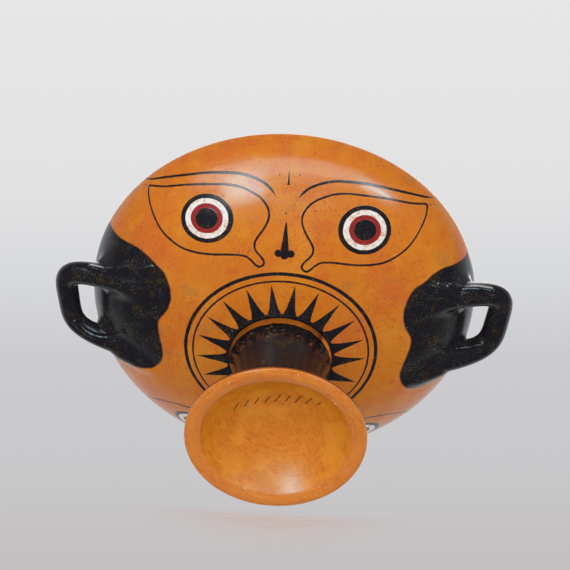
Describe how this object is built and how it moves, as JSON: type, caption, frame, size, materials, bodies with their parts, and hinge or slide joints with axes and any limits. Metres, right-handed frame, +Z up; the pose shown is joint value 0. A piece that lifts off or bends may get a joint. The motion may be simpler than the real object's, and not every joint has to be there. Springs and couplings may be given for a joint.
{
  "type": "kylix cup",
  "caption": "Painted terracotta kylix: a wide shallow drinking bowl on a tall stem and dished foot, with looped side handles, painted eyes, a nose and a ring of rays",
  "frame": {"origin": "middle of the foot's flat ring, on the surface that the cup stands on", "axes": "+Z runs up the cup's axis out of the bowl's mouth, +X runs from the axis to one handle, and -Y faces the side with the best preserved face"},
  "size_m": [0.2192, 0.185, 0.1081],
  "materials": {
    "painted_terracotta": "satin polished orange clay with black gloss handles and stem, and fine black, red and white drawing"
  },
  "bodies": {
    "root": {"kylix": "painted_terracotta"}
  },
  "joints": []
}
